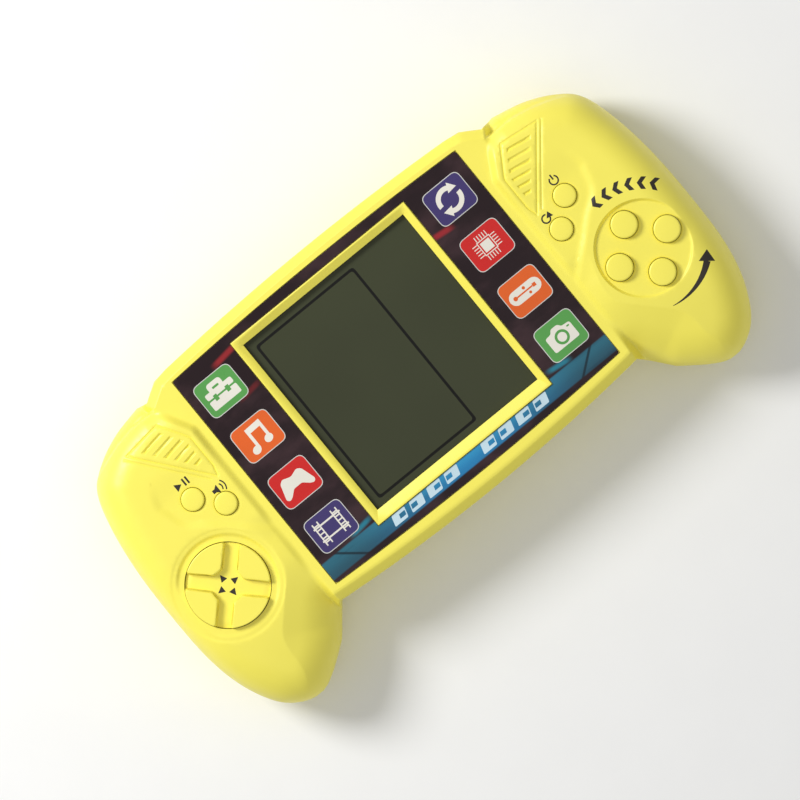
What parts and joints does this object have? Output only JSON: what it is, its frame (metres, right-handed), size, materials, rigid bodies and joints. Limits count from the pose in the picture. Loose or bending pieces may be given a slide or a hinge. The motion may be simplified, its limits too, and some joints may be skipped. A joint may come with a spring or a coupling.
{
  "type": "handheld lcd game",
  "caption": "Two-grip handheld electronic game with a sunken LCD in a printed panel, a rocking direction pad, round push buttons and a rear battery bay.",
  "frame": {"origin": "middle of the footprint, on the plane of the flat back that it lies on", "axes": "+X to the player's right, +Y towards the shoulder bars, +Z out of the screen"},
  "size_m": [0.1712, 0.0908, 0.0281],
  "materials": {
    "yellow_shell": "satin moulded",
    "yellow_key": "satin moulded",
    "printed_panel": "printed film, glossy",
    "lcd": "smooth polariser film",
    "reflector": "silvery film",
    "white_plastic": "plain moulded",
    "board": "resin-bonded paper board",
    "silicone": "matt silicone",
    "black_rubber": "matt",
    "epoxy": "cast blob",
    "capacitor_sleeve": "shrink sleeve",
    "resistor_body": "lacquered",
    "brass": "rolled sheet",
    "steel": "zinc plated",
    "nickel": "nickel plated",
    "cell_sleeve": "printed sleeve",
    "red_wire": "insulated",
    "black_wire": "insulated",
    "ribbon": "flat cable"
  },
  "bodies": {
    "housing": {"front_shell": "yellow_shell", "rear_shell": "yellow_shell", "graphic_panel": "printed_panel", "lcd_glass": "lcd", "lcd_front_film": "lcd", "main_board": "board", "key_board_left": "board", "key_board_right": "board", "key_mat_left": "silicone", "key_mat_right": "silicone", "lcd_contact_strip": "black_rubber", "lcd_frame": "white_plastic", "lcd_reflector_film": "reflector", "chip_epoxy": "epoxy", "capacitor": "capacitor_sleeve", "resistor": "resistor_body", "piezo_buzzer": "brass", "ribbon_left": "ribbon", "ribbon_right": "ribbon", "power_lead_red": "red_wire", "power_lead_black": "black_wire", "buzzer_lead_red": "red_wire", "buzzer_lead_black": "black_wire", "contact_plate_positive": "nickel", "contact_plate_negative": "nickel", "contact_link": "nickel", "contact_spring_negative": "nickel", "contact_spring_link": "nickel", "battery_upper": "cell_sleeve", "battery_lower": "cell_sleeve", "main_board_screw_upper_right": "steel", "main_board_screw_lower_right": "steel", "main_board_screw_upper_left": "steel", "main_board_screw_lower_left": "steel", "key_board_screw_left_upper": "steel", "key_board_screw_left_lower": "steel", "key_board_screw_right_upper": "steel", "key_board_screw_right_lower": "steel", "shell_screw_top_left": "steel", "shell_screw_top_right": "steel", "shell_screw_bottom_left": "steel", "shell_screw_bottom_right": "steel", "shell_screw_grip_left": "steel", "shell_screw_grip_right": "steel"},
    "dpad_pivot": {"dpad_pivot": "yellow_key"},
    "dpad": {"dpad": "yellow_key"},
    "battery_door": {"battery_door": "yellow_shell", "battery_door_screw": "steel"},
    "action_button_up": {"action_button_up": "yellow_key"},
    "action_button_left": {"action_button_left": "yellow_key"},
    "action_button_right": {"action_button_right": "yellow_key"},
    "action_button_down": {"action_button_down": "yellow_key"},
    "start_button": {"start_button": "yellow_key"},
    "sound_button": {"sound_button": "yellow_key"},
    "power_button": {"power_button": "yellow_key"},
    "reset_button": {"reset_button": "yellow_key"}
  },
  "joints": [
    {"name": "dpad_left_right", "type": "hinge", "parent": "housing", "child": "dpad_pivot", "pos_m": [-0.0682, -0.00905, 0.022], "axis": [0, 1, 0], "range_deg": [-3, 3], "stiffness_Nm_per_rad": 0.12, "deforming": ["key_mat_left"]},
    {"name": "dpad_up_down", "type": "hinge", "parent": "dpad_pivot", "child": "dpad", "pos_m": [-0.0682, -0.00905, 0.022], "axis": [1, 0, 0], "range_deg": [-3, 3], "stiffness_Nm_per_rad": 0.12},
    {"name": "action_button_up_press", "type": "slide", "parent": "housing", "child": "action_button_up", "axis": [0, 0, -1], "range_m": [0, 0.0012], "stiffness_N_per_m": 400, "deforming": ["key_mat_right"]},
    {"name": "action_button_left_press", "type": "slide", "parent": "housing", "child": "action_button_left", "axis": [0, 0, -1], "range_m": [0, 0.0012], "stiffness_N_per_m": 400},
    {"name": "action_button_right_press", "type": "slide", "parent": "housing", "child": "action_button_right", "axis": [0, 0, -1], "range_m": [0, 0.0012], "stiffness_N_per_m": 400},
    {"name": "action_button_down_press", "type": "slide", "parent": "housing", "child": "action_button_down", "axis": [0, 0, -1], "range_m": [0, 0.0012], "stiffness_N_per_m": 400},
    {"name": "start_button_press", "type": "slide", "parent": "housing", "child": "start_button", "axis": [0, 0, -1], "range_m": [0, 0.001], "stiffness_N_per_m": 400},
    {"name": "sound_button_press", "type": "slide", "parent": "housing", "child": "sound_button", "axis": [0, 0, -1], "range_m": [0, 0.001], "stiffness_N_per_m": 400},
    {"name": "power_button_press", "type": "slide", "parent": "housing", "child": "power_button", "axis": [0, 0, -1], "range_m": [0, 0.001], "stiffness_N_per_m": 400},
    {"name": "reset_button_press", "type": "slide", "parent": "housing", "child": "reset_button", "axis": [0, 0, -1], "range_m": [0, 0.001], "stiffness_N_per_m": 400},
    {"name": "battery_door_off", "type": "slide", "parent": "housing", "child": "battery_door", "axis": [0, 0, -1], "range_m": [0, 0.012]}
  ]
}
